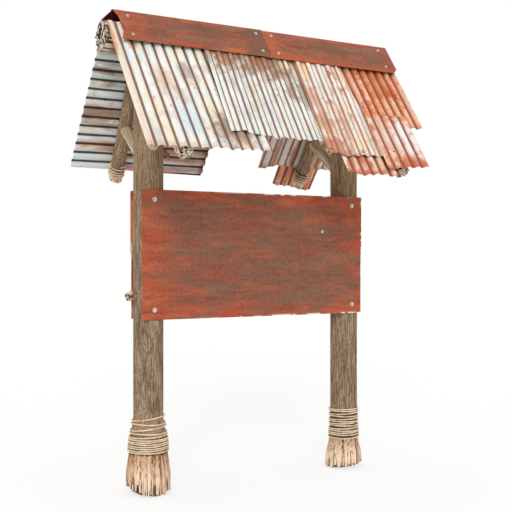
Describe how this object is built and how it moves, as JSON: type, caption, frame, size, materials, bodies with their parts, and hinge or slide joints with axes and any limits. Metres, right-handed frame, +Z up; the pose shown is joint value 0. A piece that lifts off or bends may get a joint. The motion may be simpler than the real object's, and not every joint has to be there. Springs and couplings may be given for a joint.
{
  "type": "town sign post",
  "caption": "Rustic roadside notice sign: log posts carry a rusty steel plate on each face under a gabled roof of patched corrugated sheets with a folded ridge cap, poles lashed with twine.",
  "frame": {"origin": "on the ground, midway along the ridge log and midway between the two eaves", "axes": "+X along the ridge towards the right-hand post as seen from the front, +Y to the back, +Z up; the front faces -Y"},
  "size_m": [2.416, 1.7034, 3.3425],
  "materials": {
    "post_wood": "weathered grey-brown log with hewn streaks",
    "ridge_wood": "weathered log with pale cut ends",
    "pole_wood": "peeled pole, light tan",
    "twine": "coarse natural fibre twine",
    "rusted_plate": "old paint gone to matt red-brown rust",
    "rusted_cap": "old paint gone to matt red-brown rust",
    "galvanised_sheet": "pale zinc, chalky, with rust in the valleys",
    "rusted_sheet": "pale zinc broken through by orange rust",
    "bright_steel": "dull zinc-plated",
    "nail_iron": "dark, lightly rusted"
  },
  "bodies": {
    "root": {"back_inner_right_sheet": "galvanised_sheet", "back_left_binding": "twine", "back_left_rafter": "pole_wood", "back_left_sheet": "galvanised_sheet", "back_left_strut": "pole_wood", "back_lower_right_sheet": "rusted_sheet", "back_middle_sheet": "galvanised_sheet", "back_outer_right_sheet": "galvanised_sheet", "back_panel": "rusted_plate", "back_panel_bolts": "bright_steel", "back_panel_washers": "bright_steel", "back_purlin": "pole_wood", "back_right_binding": "twine", "back_right_rafter": "pole_wood", "back_right_strut": "pole_wood", "back_sheet_nails": "nail_iron", "front_far_right_sheet": "rusted_sheet", "front_left_binding": "twine", "front_left_rafter": "pole_wood", "front_left_sheet": "galvanised_sheet", "front_left_strut": "pole_wood", "front_lower_right_sheet": "rusted_sheet", "front_middle_sheet": "galvanised_sheet", "front_panel": "rusted_plate", "front_panel_bolts": "bright_steel", "front_panel_screw": "bright_steel", "front_panel_washers": "bright_steel", "front_patch_sheet": "rusted_sheet", "front_purlin": "pole_wood", "front_right_binding": "twine", "front_right_rafter": "pole_wood", "front_right_sheet": "rusted_sheet", "front_right_strut": "pole_wood", "front_sheet_nails": "nail_iron", "left_foot_binding": "twine", "left_post": "post_wood", "purlin_nails": "nail_iron", "rafter_spikes": "nail_iron", "ridge_cap_left": "rusted_cap", "ridge_cap_right": "rusted_cap", "ridge_cap_screws": "bright_steel", "ridge_cap_washers": "bright_steel", "ridge_drift_pins": "nail_iron", "ridge_log": "ridge_wood", "right_foot_binding": "twine", "right_post": "post_wood", "strut_nails": "nail_iron"}
  },
  "joints": []
}
